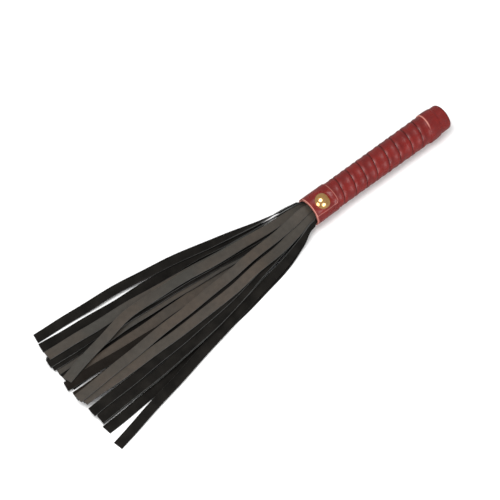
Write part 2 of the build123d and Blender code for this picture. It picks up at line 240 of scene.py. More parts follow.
def make_red_leather():
    """Waxed red leather: darker beside its grooves as painted shade, pale pink where the cut edge is left raw.
    """
    material, tree, shader = start_material("red_leather")
    height, pores, mottle = grain_on(tree, object_place(tree), 1300.0, 85.0)
    clouds = put(tree, "ShaderNodeTexNoise", Vector=object_place(tree, (0.6, 1, 1)), Scale=140.0, Detail=5.0,
                 Roughness=0.65).outputs[0]
    red = tint(tree, mottle, (0.130, 0.0065, 0.0052, 1), (0.195, 0.0100, 0.0068, 1))
    red = tint(tree, spread(tree, clouds, 0.42, 0.68, 0.0, 0.45), red, (0.100, 0.0060, 0.0065, 1))
    red = tint(tree, spread(tree, pores, 0.0, 0.35, 0.28, 0.0), red, (0.030, 0.0034, 0.004, 1))
    seam_shade = put(tree, "ShaderNodeAttribute", {"attribute_name": "seam_shade"}).outputs["Fac"]
    raw = put(tree, "ShaderNodeAttribute", {"attribute_name": "raw_edge"}).outputs["Fac"]
    # painted shade: the strap's edges are darkened where they dip into the groove between turns
    red = tint(tree, reckon(tree, "MULTIPLY", seam_shade, 0.6, clamp=True), red, (0.022, 0.003, 0.0035, 1))
    red = tint(tree, reckon(tree, "MULTIPLY", raw, 0.9, clamp=True), red, (0.52, 0.20, 0.16, 1))
    wear = reckon(tree, "ADD", spread(tree, clouds, 0.35, 0.7, 0.24, 0.40), reckon(tree, "MULTIPLY", raw, 0.3))
    shader.inputs["Specular IOR Level"].default_value = 0.36
    shader.inputs["Coat Weight"].default_value = 0.18
    shader.inputs["Coat Roughness"].default_value = 0.25
    feed(tree, shader, red, wear, height, 0.00006)
    return material


red_leather = make_red_leather()


def make_wound_strap():
    """Geometry nodes: a straight strap of leather, bent into a helix round the handle's axis.

    The straight strap's X is the angle that it is wound by, its Y is across it and its Z through it.
    """
    tree = bpy.data.node_groups.new("wound_strap", "GeometryNodeTree")
    for name in ("Start X", "End X", "Pitch", "First Groove X", "Groove Angle", "Gap", "Thickness",
                 "Core Radius", "Growth", "Shoulder Height", "Shoulder Inset", "Shoulder Width", "Waver",
                 "Axis Y", "Axis Z"):
        tree.interface.new_socket(name, in_out="INPUT", socket_type="NodeSocketFloat")
    tree.interface.new_socket("Rings a Turn", in_out="INPUT", socket_type="NodeSocketInt")
    tree.interface.new_socket("Seed", in_out="INPUT", socket_type="NodeSocketFloat")
    tree.interface.new_socket("Material", in_out="INPUT", socket_type="NodeSocketMaterial")
    tree.interface.new_socket("Geometry", in_out="OUTPUT", socket_type="NodeSocketGeometry")
    given = tree.nodes.new("NodeGroupInput").outputs
    turn = 2 * math.pi

    def wound_angle(x):
        """The angle at which the strap's left edge reaches x."""
        turns = reckon(tree, "DIVIDE", reckon(tree, "SUBTRACT", x, given["First Groove X"]), given["Pitch"])
        return reckon(tree, "MULTIPLY", turns, turn)

    first = reckon(tree, "SUBTRACT", wound_angle(reckon(tree, "ADD", given["Start X"], given["Gap"])), turn)
    last = wound_angle(given["End X"])
    width = reckon(tree, "SUBTRACT", given["Pitch"], given["Gap"])
    start = put(tree, "ShaderNodeCombineXYZ", X=first).outputs[0]
    end = put(tree, "ShaderNodeCombineXYZ", X=last).outputs[0]
    line = put(tree, "GeometryNodeCurvePrimitiveLine", Start=start, End=end).outputs[0]
    turns = reckon(tree, "DIVIDE", reckon(tree, "SUBTRACT", last, first), turn)
    count = reckon(tree, "MULTIPLY", turns, given["Rings a Turn"])
    line = put(tree, "GeometryNodeResampleCurve", {"mode": "COUNT"}, Curve=line, Count=count).outputs[0]
    outline = put(tree, "GeometryNodeCurvePrimitiveQuadrilateral",
                  Width=width, Height=given["Thickness"]).outputs[0]
    corner = reckon(tree, "MULTIPLY", given["Thickness"], 0.42)
    outline = put(tree, "GeometryNodeFilletCurve", {"mode": "POLY"},
                  Curve=outline, Radius=corner, Count=4).outputs[0]
    outline = put(tree, "GeometryNodeResampleCurve", {"mode": "LENGTH"},
                  Curve=outline, Length=0.0006).outputs[0]
    strap = put(tree, "GeometryNodeCurveToMesh", Curve=line, Profile_Curve=outline).outputs[0]

    place = put(tree, "ShaderNodeSeparateXYZ", Vector=tree.nodes.new("GeometryNodeInputPosition").outputs[0])
    angle, across, through = place.outputs[0], place.outputs[1], place.outputs[2]

    def edge_x(at):
        """Where the strap's left edge lies at an angle, with the waver of winding by hand."""
        per_radian = reckon(tree, "DIVIDE", given["Pitch"], turn)
        x = reckon(tree, "MULTIPLY_ADD", at, per_radian, given["First Groove X"])
        share = spread(tree, x, given["Start X"], given["End X"], 0.0, 1.0)
        fade = reckon(tree, "MULTIPLY", share, reckon(tree, "SUBTRACT", 1.0, share))
        where = reckon(tree, "MULTIPLY_ADD", at, 0.11, given["Seed"])
        noise = put(tree, "ShaderNodeTexNoise", {"noise_dimensions": "1D"}, W=where, Scale=1.0, Detail=1.0)
        centred = reckon(tree, "SUBTRACT", noise.outputs[0], 0.5)
        shift = reckon(tree, "MULTIPLY", reckon(tree, "MULTIPLY", centred, given["Waver"]), fade)
        return reckon(tree, "MULTIPLY_ADD", shift, 16.0, x)

    left = edge_x(angle)
    right = reckon(tree, "SUBTRACT", edge_x(reckon(tree, "ADD", angle, turn)), given["Gap"])
    share = reckon(tree, "ADD", reckon(tree, "DIVIDE", across, width), 0.5)
    x = reckon(tree, "MULTIPLY_ADD", share, reckon(tree, "SUBTRACT", right, left), left)
    x = reckon(tree, "MINIMUM", reckon(tree, "MAXIMUM", x, given["Start X"]), given["End X"])

    reach = reckon(tree, "ABSOLUTE", across)
    crest = reckon(tree, "SUBTRACT", reckon(tree, "MULTIPLY", width, 0.5), given["Shoulder Inset"])
    apart = reckon(tree, "DIVIDE", reckon(tree, "SUBTRACT", reach, crest), given["Shoulder Width"])
    swell = reckon(tree, "EXPONENT", reckon(tree, "MULTIPLY", reckon(tree, "MULTIPLY", apart, apart), -1.0))
    on_top = spread(tree, through, 0.0, 0.0004, 0.0, 1.0)
    swell = reckon(tree, "MULTIPLY", reckon(tree, "MULTIPLY", swell, on_top), given["Shoulder Height"])
    along = spread(tree, x, given["Start X"], given["End X"], 0.0, 1.0)
    radius = reckon(tree, "MULTIPLY_ADD", along, given["Growth"], given["Core Radius"])
    radius = reckon(tree, "ADD", radius, reckon(tree, "MULTIPLY", given["Thickness"], 0.5))
    radius = reckon(tree, "ADD", reckon(tree, "ADD", radius, through), swell)

    turned = reckon(tree, "SUBTRACT", given["Groove Angle"], angle)
    sideways = reckon(tree, "MULTIPLY", radius, reckon(tree, "SINE", turned))
    upwards = reckon(tree, "MULTIPLY", radius, reckon(tree, "COSINE", turned))
    y = reckon(tree, "SUBTRACT", given["Axis Y"], sideways)
    z = reckon(tree, "ADD", given["Axis Z"], upwards)
    wound = put(tree, "ShaderNodeCombineXYZ", X=x, Y=y, Z=z).outputs[0]
    depth = reckon(tree, "SUBTRACT", reckon(tree, "MULTIPLY", width, 0.5), reach)
    # mask for the painted groove shade: 1 at the strap's edges, fading out 0.8 mm in; the material darkens it
    groove = spread(tree, depth, 0.0, 0.0008, 1.0, 0.0)
    strap = put(tree, "GeometryNodeStoreNamedAttribute", {"data_type": "FLOAT", "domain": "POINT"},
                Geometry=strap, Name="seam_shade", Value=groove).outputs[0]
    strap = put(tree, "GeometryNodeSetPosition", Geometry=strap, Position=wound).outputs[0]
    strap = put(tree, "GeometryNodeMergeByDistance", Geometry=strap, Distance=0.00001).outputs[0]
    strap = put(tree, "GeometryNodeRealizeInstances", Geometry=strap).outputs[0]
    strap = put(tree, "GeometryNodeSetMaterial", Geometry=strap, Material=given["Material"]).outputs[0]
    result = tree.nodes.new("NodeGroupOutput")
    tree.links.new(strap, result.inputs[0])
    return tree


def grow(name, tree, values):
    """Runs a geometry node tree with the given inputs and keeps its result as a plain mesh object."""
    seed_mesh = bpy.data.meshes.new(name + "_start")
    grower = bpy.data.objects.new(name + "_start", seed_mesh)
    bpy.context.scene.collection.objects.link(grower)
    modifier = grower.modifiers.new("grow", "NODES")
    modifier.node_group = tree
    identifiers = {item.name: item.identifier for item in tree.interface.items_tree if item.in_out == "INPUT"}
    for input_name, value in values.items():
        modifier[identifiers[input_name]] = value
    depsgraph = bpy.context.evaluated_depsgraph_get()
    mesh = bpy.data.meshes.new_from_object(grower.evaluated_get(depsgraph))
    bpy.data.objects.remove(grower)
    bpy.data.meshes.remove(seed_mesh)
    mesh.name = name
    piece = bpy.data.objects.new(name, mesh)
    bpy.context.scene.collection.objects.link(piece)
    return piece


def finish_mesh(mesh, sharp_angle=40):
    """Turns the faces outwards, smooths them and marks the edges that stay sharp."""
    shape = bmesh.new()
    shape.from_mesh(mesh)
    bmesh.ops.recalc_face_normals(shape, faces=shape.faces)
    for face in shape.faces:
        face.smooth = True
    for edge in shape.edges:
        edge.smooth = edge.calc_face_angle(0) < math.radians(sharp_angle)
    shape.to_mesh(mesh)
    shape.free()


grip_strap = grow("grip_strap", make_wound_strap(), {
    "Start X": wrap_low.x,
    "End X": wrap_high.x,
    "Pitch": STRAP_PITCH,
    "First Groove X": mouth_x + FIRST_GROOVE,
    "Groove Angle": GROOVE_ANGLE,
    "Gap": STRAP_GAP,
    "Thickness": STRAP_THICKNESS,
    "Core Radius": 0.01265,
    "Growth": 0.0003,
    "Shoulder Height": SHOULDER_HEIGHT,
    "Shoulder Inset": SHOULDER_INSET,
    "Shoulder Width": SHOULDER_WIDTH,
    "Waver": HAND_WAVER,
    "Axis Y": axis_y,
    "Axis Z": axis_z,
    "Rings a Turn": RINGS_A_TURN,
    "Seed": 3.7,
    "Material": red_leather,
})
finish_mesh(grip_strap.data)
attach(grip_strap, "handle")
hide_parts("grip_wrap")

# ---------------------------------------------------------------------------------------------
# End band: the strap's last turn, doubled over itself and glued down. It stands above the grip,
# both its edges slant a little, and the cut leather shows pale along the back of the left one.
# ---------------------------------------------------------------------------------------------


def on_round(radius, angle, x):
    """A point round the handle's axis, its angle measured from straight up towards the front."""
    return (x, axis_y - radius * math.sin(angle), axis_z + radius * math.cos(angle))


def skin(name, loops, joined=False):
    """A closed shape over loops of points: the loops end in a cap each, or join first to last."""
    count, around = len(loops), len(loops[0])
    points = [tuple(point) for loop in loops for point in loop]
    faces = []
    for i in range(count if joined else count - 1):
        below, above = i * around, (i + 1) % count * around
        for k in range(around):
            after = (k + 1) % around
            faces.append((below + k, below + after, above + after, above + k))
    if not joined:
        faces.append(tuple(range(around)))
        faces.append(tuple(range((count - 1) * around, count * around)))
    mesh = bpy.data.meshes.new(name)
    mesh.from_pydata(points, [], faces)
    piece = bpy.data.objects.new(name, mesh)
    bpy.context.scene.collection.objects.link(piece)
    return piece


def mark(piece, name, values):
    """Stores one number for each point of a piece, for its material to read."""
    attribute = piece.data.attributes.new(name, "FLOAT", "POINT")
    attribute.data.foreach_set("value", np.array(values, np.float32))


def smooth(value):
    """Eases from 0 to 1."""
    held = min(max(value, 0.0), 1.0)
    return held * held * (3 - 2 * held)


BAND_STEPS = 160
BAND_FOOT = 0.0139
BAND_TOP = 0.01535
LEFT_EDGE, LEFT_SLANT, LEFT_FAR_SIDE = 0.1528, 0.0024, math.radians(50)
RIGHT_EDGE, RIGHT_SLANT, RIGHT_FAR_SIDE = 0.1669, 0.0023, math.radians(66)
EDGE_ROUND = 0.0006


def band_outline(left, right):
    """Cross-section of the band, as distance along the handle and radius, with its pale left edge."""
    top_left, top_right = BAND_TOP, BAND_TOP - 0.0005
    outline = [(left, BAND_FOOT, 0.3)]
    for step in range(5):
        turned = math.radians(90 * step / 4)
        x = left + EDGE_ROUND * (1 - math.sin(turned))
        outline.append((x, top_left - EDGE_ROUND * (1 - math.cos(turned)), 1.0))
    outline[1:] = outline[:0:-1]
    for step in range(1, 12):
        share = step / 12
        crown = 0.00025 * math.sin(math.pi * share)
        x = left + EDGE_ROUND + share * (right - left - 2.5 * EDGE_ROUND)
        outline.append((x, top_left + (top_right - top_left) * share + crown, 0.0))
    for step in range(5):
        turned = math.radians(90 * step / 4)
        outline.append((right - 1.5 * EDGE_ROUND * (1 - math.sin(turned)),
                        top_right - 1.5 * EDGE_ROUND * (1 - math.cos(turned)), 0.0))
    outline.append((right, BAND_FOOT, 0.0))
    return outline


loops, pale = [], []
for step in range(BAND_STEPS):
    angle = 2 * math.pi * step / BAND_STEPS
    left = mouth_x + LEFT_EDGE + LEFT_SLANT * math.cos(angle + LEFT_FAR_SIDE)
    right = mouth_x + RIGHT_EDGE + RIGHT_SLANT * math.cos(angle + RIGHT_FAR_SIDE)
    outline = band_outline(left, right)
    wobble = 0.00008 * math.sin(3 * angle + 0.7) + 0.00006 * math.sin(7 * angle)
    back_share = smooth((math.cos(angle + math.radians(40)) - 0.1) / 0.6)
    loops.append([on_round(radius + wobble * (radius > 0.014), angle, x) for x, radius, _ in outline])
    pale += [edge * back_share for _, _, edge in outline]
end_band = skin("end_band", loops, joined=True)
mark(end_band, "raw_edge", pale)
end_band.data.materials.append(red_leather)
finish_mesh(end_band.data, 50)
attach(end_band, "handle")
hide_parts("wrap_end_band")

# ---------------------------------------------------------------------------------------------
# Pommel: a cap of the same leather, formed wet over the wood's rounded end and burnished. A
# shallow ring on its flat end is where the cap was pressed down.
# ---------------------------------------------------------------------------------------------

pommel_low, pommel_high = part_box("pommel_cap")
POMMEL_RADIUS = 0.0139
POMMEL_ROUND = 0.0031
POMMEL_HOLLOW = 0.01268
POMMEL_WALL = 0.00135
RING_RADIUS = 0.0088
POMMEL_STEPS = 96


def pommel_outline():
    """Half outline of the cap as (x, radius), from the middle of its flat end round to its hollow."""
    end = pommel_high.x
    outline = []
    for step in range(1, 15):
        radius = (POMMEL_RADIUS - POMMEL_ROUND) * step / 15
        ring = math.exp(-(((radius - RING_RADIUS) / 0.0006) ** 2))
        outline.append((end - 0.0002 - 0.0003 * ring, radius))
    for step in range(9):
        turned = math.radians(90 * step / 8)
        outline.append((end - 0.0002 - POMMEL_ROUND * (1 - math.cos(turned)),
                        POMMEL_RADIUS - POMMEL_ROUND * (1 - math.sin(turned))))
    front = pommel_low.x
    straight = outline[-1][0] - front
    for step in range(1, 7):
        swell = 0.00012 * math.sin(math.pi * step / 6)
        outline.append((outline[22][0] - straight * step / 6 * 0.97, POMMEL_RADIUS + swell))
    outline += [(front, POMMEL_RADIUS - 0.0003), (front, POMMEL_HOLLOW)]
    back = end - 0.0002 - POMMEL_WALL
    outline += [(back - 0.003, POMMEL_HOLLOW), (back - 0.0008, POMMEL_HOLLOW - 0.0009),
                (back, POMMEL_HOLLOW - 0.003), (back, 0.0006)]
    return outline


loops = []
for x, radius in pommel_outline():
    loop = []
    for step in range(POMMEL_STEPS):
        angle = 2 * math.pi * step / POMMEL_STEPS
        pucker = 0.00007 * math.sin(5 * angle + 1.0) * smooth((radius - 0.009) / 0.004)
        loop.append(on_round(radius + pucker, angle, x))
    loops.append(loop)
pommel = skin("pommel_leather", loops)
pommel.data.materials.append(red_leather)
finish_mesh(pommel.data, 50)
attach(pommel, "handle")
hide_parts("pommel_cap")

# ---------------------------------------------------------------------------------------------
# Falls: flat strips of one black hide, cut 10.5 mm wide and left joined at the root. Some show
# the smooth grain face and some the matt flesh face. They leave the collar as a round bunch,
# then fan out and lie over each other. Each cut end is square.
# ---------------------------------------------------------------------------------------------

STRIP_WIDTH = 0.0108
STRIP_THICKNESS = 0.0014
STRIP_STATIONS = (0.008, 0.026, 0.048, 0.078, 0.115, 0.160, 0.205, 0.252)
ROOT_DEPTH = 0.0036
RING_STEP = 0.0025
CUT_WIDTH = 0.0105
CUT_THICKNESS = 0.0012
CUT_BEVEL = 0.00016
BUNCH_RADIUS = 0.0131
BUNCH_SWELL = 0.0024
SWELL_LENGTH = 0.004
BUNCH_HALF_WIDTH = 0.0166
BUNCH_HALF_HEIGHT = 0.0125
BUNCH_LENGTH = 0.017
GRAIN_UP = ("top_fall_1", "top_fall_2", "top_fall_3", "bed_fall_3", "bed_fall_13", "bed_fall_16")
BROWN = {"bed_fall_3": 0.9, "bed_fall_5": 0.8, "bed_fall_6": 0.35, "top_fall_3": 0.55, "top_fall_1": 0.6}


def sections_of(node):
    """Distance from the mouth, height, place across and lean of a strip at each of its stations."""
    points = np.array([v.co for v in frame["nodes"][node].data.vertices], float)
    length = mouth_x - points[:, 0].min()
    found = []
    for station in (*STRIP_STATIONS, length):
        cut = points[abs(points[:, 0] - (mouth_x - station)) < 0.00002][:, 1:]
        low, high = cut.min(0), cut.max(0)
        wide, tall = high - low
        cosine = STRIP_WIDTH * wide - STRIP_THICKNESS * tall
        sine = STRIP_WIDTH * tall - STRIP_THICKNESS * wide
        slope = ((cut - cut.mean(0)).prod(1)).sum()
        lean = math.atan2(math.copysign(sine, slope) if sine > 1e-9 else 0.0, cosine)
        found.append((station, *(low + high) / 2, lean))
    return np.array(found)


def ease_through(at, stations, values):
    """A smooth curve through values, which doesn't overshoot them."""
    steps = np.diff(stations)
    rises = np.diff(values) / steps
    slopes = np.zeros(len(values))
    for i in range(1, len(values) - 1):
        if rises[i - 1] * rises[i] > 0:
            before, after = 2 * steps[i] + steps[i - 1], steps[i] + 2 * steps[i - 1]
            slopes[i] = (before + after) / (before / rises[i - 1] + after / rises[i])
    slopes[-1] = rises[-1]
    span = np.clip(np.searchsorted(stations, at) - 1, 0, len(steps) - 1)
    t = np.clip((at - stations[span]) / steps[span], 0, 1)
    step = steps[span]
    return ((1 + 2 * t) * (1 - t) ** 2 * values[span] + t * (1 - t) ** 2 * step * slopes[span]
            + t * t * (3 - 2 * t) * values[span + 1] + t * t * (t - 1) * step * slopes[span + 1])


def strip_outline():
    """Cross-section of a cut strip as (across, up): underside, front edge, top and back edge."""
    half_width, half_height = CUT_WIDTH / 2, CUT_THICKNESS / 2
    inner = half_width - CUT_BEVEL
    under = [(-inner + 2 * inner * k / 6, -half_height) for k in range(7)]
    top = [(inner - 2 * inner * k / 6, half_height) for k in range(7)]
    side = half_height - CUT_BEVEL
    front_edge = [(half_width, -side), (half_width, side)]
    back_edge = [(-half_width, side), (-half_width, -side)]
    return np.array(under + front_edge + top + back_edge)


def gather(points):
    """Draws what lies near the mouth in to the collar's round."""
    station = mouth_x - points[:, 0]
    share = np.clip(station / BUNCH_LENGTH, 0, 1)
    held = 1 - share * share * (3 - 2 * share)
    u = np.clip((points[:, 1] - axis_y) / BUNCH_HALF_WIDTH, -1, 1)
    v = np.clip((points[:, 2] - axis_z) / BUNCH_HALF_HEIGHT, -1, 1)
    out = np.clip(station / SWELL_LENGTH, 0, 1)
    radius = BUNCH_RADIUS + BUNCH_SWELL * out * out * (3 - 2 * out)
    round_y = axis_y + radius * u * np.sqrt(1 - v * v / 2)
    round_z = axis_z + radius * v * np.sqrt(1 - u * u / 2)
    points[:, 1] += held * (round_y - points[:, 1])
    points[:, 2] += held * (round_z - points[:, 2])
    return points


def make_fall(name, node, dice):
    """One strip along its node's path, with how far it runs from its root for its material."""
    sections = sections_of(node)
    length = sections[-1, 0]
    root = sections[0].copy()
    root[0] = -ROOT_DEPTH
    sections = np.vstack([root, sections])
    rings = int(round((length + ROOT_DEPTH) / RING_STEP))
    at = np.linspace(-ROOT_DEPTH, length, rings + 1)
    y, z, lean = (ease_through(at, sections[:, 0], sections[:, k]) for k in (1, 2, 3))
    phase, pace = dice.uniform(0, 6.28), dice.uniform(70, 130)
    y = y + 0.00025 * np.sin(at * pace + phase) * np.clip(at / 0.08, 0, 1)
    middle = np.column_stack([mouth_x - at, y, z])
    forward = np.gradient(middle, axis=0)
    forward /= np.linalg.norm(forward, axis=1)[:, None]
    level = np.cross(forward, (0, 0, 1.0))
    level /= np.linalg.norm(level, axis=1)[:, None]
    upward = np.cross(level, forward)
    cosine, sine = np.cos(lean)[:, None], np.sin(lean)[:, None]
    across, normal = cosine * level + sine * upward, cosine * upward - sine * level
    outline = strip_outline()
    cup = dice.uniform(-0.00012, 0.00012)
    skew = dice.uniform(-0.10, 0.10)
    loops = []
    for i in range(rings + 1):
        width = 1 + 0.012 * math.sin(at[i] * 55 + phase)
        flat, up = outline[:, :1] * width, outline[:, 1:]
        up = up + cup * ((flat / outline[:, 0].max()) ** 2 - 0.4)
        slip = flat * skew * (i == rings)
        loops.append(gather(middle[i] + flat * across[i] + up * normal[i] + slip * forward[i]))
    piece = skin(name, loops)
    finish_mesh(piece.data, 35)
    run = float(np.linalg.norm(np.diff(middle, axis=0), axis=1).sum())
    shift = dice.uniform(0, 5)
    girth = np.concatenate([[0], np.cumsum(np.linalg.norm(np.diff(outline, axis=0), axis=1))])
    along, around = np.repeat(at + shift, len(outline)), np.tile(girth, rings + 1)
    paint = piece.data.uv_layers.new(name="hide")
    corners = np.zeros(len(piece.data.loops), int)
    piece.data.loops.foreach_get("vertex_index", corners)
    paint.data.foreach_set("uv", np.column_stack([along, around])[corners].astype(np.float32).ravel())
    return piece, run


def hide_place(tree, stretch=(1, 1, 1)):
    """The place on the hide that a strip was cut from."""
    place = put(tree, "ShaderNodeUVMap", {"uv_map": "hide"}).outputs[0]
    return put(tree, "ShaderNodeMapping", Vector=place, Scale=stretch).outputs[0]


def make_grain_face():
    """Smooth face of the strips: dyed grey-black, turning brown in places, with fine pores."""
    material, tree, shader = start_material("strip_grain")
    height, pores, mottle = grain_on(tree, hide_place(tree), 1500.0, 170.0)
    slow = put(tree, "ShaderNodeTexNoise", Vector=hide_place(tree, (1, 0.3, 1)),
               Scale=14.0, Detail=2.0).outputs[0]
    brown = put(tree, "ShaderNodeAttribute", {"attribute_name": "brown"}).outputs["Fac"]
    warm = reckon(tree, "ADD", spread(tree, slow, 0.4, 0.62, 0.0, 0.75),
                  reckon(tree, "MULTIPLY", brown, 0.5), clamp=True)
    black = tint(tree, warm, (0.034, 0.031, 0.025, 1), (0.054, 0.039, 0.027, 1))
    black = tint(tree, spread(tree, mottle, 0.0, 1.0, 0.0, 0.35), black, (0.017, 0.015, 0.012, 1))
    black = tint(tree, spread(tree, pores, 0.0, 0.5, 0.4, 0.0), black, (0.016, 0.014, 0.012, 1))
    shader.inputs["Specular IOR Level"].default_value = 0.30
    feed(tree, shader, black, spread(tree, mottle, 0.0, 1.0, 0.50, 0.62), height, 0.00009)
    return material


def make_flesh_face():
    """Split face of the strips: matt near-black nap with short fibres."""
    material, tree, shader = start_material("strip_flesh")
    nap = put(tree, "ShaderNodeTexNoise", Vector=hide_place(tree, (0.45, 1, 1)), Scale=2400.0, Detail=4.0,
              Roughness=0.7).outputs[0]
    slow = put(tree, "ShaderNodeTexNoise", Vector=hide_place(tree), Scale=60.0, Detail=3.0).outputs[0]
    brown = put(tree, "ShaderNodeAttribute", {"attribute_name": "brown"}).outputs["Fac"]
    black = tint(tree, spread(tree, slow, 0.35, 0.65, 0.0, 1.0),
                 (0.0045, 0.0042, 0.0038, 1), (0.010, 0.009, 0.0078, 1))
    black = tint(tree, reckon(tree, "MULTIPLY", brown, 0.7, clamp=True), black, (0.018, 0.012, 0.0085, 1))
    black = tint(tree, spread(tree, nap, 0.5, 0.75, 0.0, 0.7), black, (0.026, 0.023, 0.019, 1))
    shader.inputs["Specular IOR Level"].default_value = 0.05
    feed(tree, shader, black, spread(tree, nap, 0.3, 0.7, 0.95, 0.8), nap, 0.00016)
    return material


def make_cut_face():
    """Knife-cut edge of the strips: grey, close fibres, a little polished."""
    material, tree, shader = start_material("strip_cut")
    fibres = put(tree, "ShaderNodeTexNoise", Vector=hide_place(tree, (0.3, 1, 1)),
                 Scale=3000.0, Detail=3.0).outputs[0]
    grey = tint(tree, spread(tree, fibres, 0.35, 0.65, 0.0, 1.0),
                (0.020, 0.020, 0.019, 1), (0.062, 0.063, 0.060, 1))
    shader.inputs["Specular IOR Level"].default_value = 0.3
    feed(tree, shader, grey, spread(tree, fibres, 0.3, 0.7, 0.35, 0.5), fibres, 0.00006)
    return material


grain_face, flesh_face, cut_face = make_grain_face(), make_flesh_face(), make_cut_face()
SIDES, UNDER_FACES, TOP_FACES = 18, range(0, 6), range(9, 15)
bodies = frame["record"]["behaviour"]["bodies"]
dice = np.random.default_rng(11)
sections = {node: sections_of(node) for body, nodes in bodies.items() if body != "handle" for node in nodes}
for body in ("back_falls", "front_falls", "bed_falls", "top_falls"):
    for node in bodies[body]:
        name = node.replace("_fall_", "_strip_")
        fall, run = make_fall(name, node, dice)
        upper, lower = (grain_face, flesh_face) if node in GRAIN_UP else (flesh_face, grain_face)
        for material in (upper, lower, cut_face):
            fall.data.materials.append(material)
        kinds = np.full(SIDES, 2)
        kinds[list(TOP_FACES)] = 0
        kinds[list(UNDER_FACES)] = 1
        faces = len(fall.data.polygons)
        sides = np.concatenate([np.tile(kinds, (faces - 2) // SIDES), [2, 2]])
        fall.data.polygons.foreach_set("material_index", sides.astype(np.int32))
        mark(fall, "brown", [BROWN.get(node, 0.0)] * len(fall.data.vertices))
        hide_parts(node)
        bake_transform(fall)

# ---------------------------------------------------------------------------------------------
# Collar: a band of the red leather, closed round the roots. Its free end is lapped over the
# top, with rounded corners. The mouth's edge and the lap's edges are left raw, so they show
# pale. The stud presses the lap flat round itself, and the lap rises a little towards the grip.
# ---------------------------------------------------------------------------------------------

collar_length = collar_end_x - mouth_x
COLLAR_INNER = 0.0134
COLLAR_OUTER = 0.0154
COLLAR_STEPS = 160
LAP_TOP = 0.01655
LAP_BOTTOM = 0.0150
LAP_FREE_ANGLE = math.radians(58)
LAP_TOP_ANGLE = math.radians(-20)
LAP_END_ANGLE = math.radians(-78)
LAP_MOUTH_CORNER = 0.0018
LAP_GRIP_CORNER = 0.0045
LAP_EDGE = 0.0005
STUD_ANGLE = math.radians(20)
STUD_X = 0.0134
STUD_RADIUS = 0.0082
SEAT_RADIUS = 0.01655


def ring_outline():
    """Cross-section of the collar's ring as (x, radius, pale share)."""
    bend = 0.0003
    outline = []
    for corner_r, start in ((COLLAR_INNER + bend, 270), (COLLAR_OUTER - bend, 180)):
        for step in range(4):
            turned = math.radians(start - 90 * step / 3)
            outline.append((bend + bend * math.cos(turned), corner_r + bend * math.sin(turned), 0.8))
    for step in range(1, 20):
        share = step / 20
        dip = 0.0001 * math.sin(2 * math.pi * share)
        outline.append((bend + share * (collar_length - 2 * bend), COLLAR_OUTER + dip, 0.0))
    for corner_r, start in ((COLLAR_OUTER - bend, 90), (COLLAR_INNER + bend, 0)):
        for step in range(4):
            turned = math.radians(start - 90 * step / 3)
            x = collar_length - bend + bend * math.cos(turned)
            outline.append((x, corner_r + bend * math.sin(turned), 0.0))
    return outline


loops, pale = [], []
for step in range(COLLAR_STEPS):
    angle = 2 * math.pi * step / COLLAR_STEPS
    wobble = 0.00009 * math.sin(2 * angle + 0.4) + 0.00006 * math.sin(5 * angle)
    loops.append([on_round(radius + wobble, angle, mouth_x + x) for x, radius, _ in ring_outline()])
    pale += [share for _, _, share in ring_outline()]
collar_ring = skin("collar_ring", loops, joined=True)
mark(collar_ring, "raw_edge", pale)


def lines_between(length):
    """Grid lines over a length, close together beside the edges."""
    fine = (0.0, 0.00006, 0.00016, 0.0003, 0.0005, 0.0008, 0.0013, 0.002, 0.003)
    middle = list(np.linspace(0.004, length - 0.004, int((length - 0.008) / 0.0008)))
    return np.array(list(fine) + middle + [length - step for step in reversed(fine)])


def lap_shape():
    """Grid of the lap's outer face: points, how raw they are, and the feet of its rim."""
    arc = (LAP_FREE_ANGLE - LAP_END_ANGLE) * LAP_TOP
    rows, columns = lines_between(arc), lines_between(collar_length)
    top, foot, raw = [], [], []
    for p in rows:
        for q in columns:
            near_mouth = q < collar_length / 2
            side = q if near_mouth else collar_length - q
            corner = LAP_MOUTH_CORNER if near_mouth else LAP_GRIP_CORNER
            inward, sideways, depth = p, side, min(p, side)
            if p < corner and side < corner:
                u, v = 1 - p / corner, 1 - side / corner
                bent_u, bent_v = u * math.sqrt(1 - v * v / 2), v * math.sqrt(1 - u * u / 2)
                inward, sideways = corner * (1 - bent_u), corner * (1 - bent_v)
                depth = corner * (1 - math.hypot(bent_u, bent_v))
            x = sideways if near_mouth else collar_length - sideways
            angle = LAP_FREE_ANGLE - inward / LAP_TOP
            ramp = smooth((LAP_TOP_ANGLE - angle) / (LAP_TOP_ANGLE - LAP_END_ANGLE))
            radius = LAP_TOP + (LAP_BOTTOM + 0.0001 - LAP_TOP) * ramp
            turned = angle - STUD_ANGLE
            from_stud = math.hypot(x - STUD_X, LAP_TOP * math.sin(turned))
            pressed = 1 - smooth((from_stud - STUD_RADIUS) / 0.0048)
            flat = min(SEAT_RADIUS / max(math.cos(turned), 0.2), 0.0179)
            radius += (flat - radius) * 0.7 * pressed
            crease = math.exp(-(((from_stud - STUD_RADIUS - 0.0012) / 0.0011) ** 2))
            lift = 0.0009 * smooth((x - 0.0205) / 0.0065) * (1 - ramp) * smooth((angle + 0.5) / 0.8)
            radius += lift - 0.00022 * crease
            drop = LAP_EDGE * (1 - math.sqrt(max(0.0, 1 - (1 - min(depth / LAP_EDGE, 1)) ** 2)))
            top.append(on_round(max(radius - drop, LAP_BOTTOM), angle, mouth_x + x))
            foot.append(on_round(LAP_BOTTOM - 0.0004, angle, mouth_x + x))
            raw.append((1.0 - smooth((depth - 0.00045) / 0.00025)) * (1 - smooth(ramp * 1.6)))
    return len(rows), len(columns), top, foot, raw


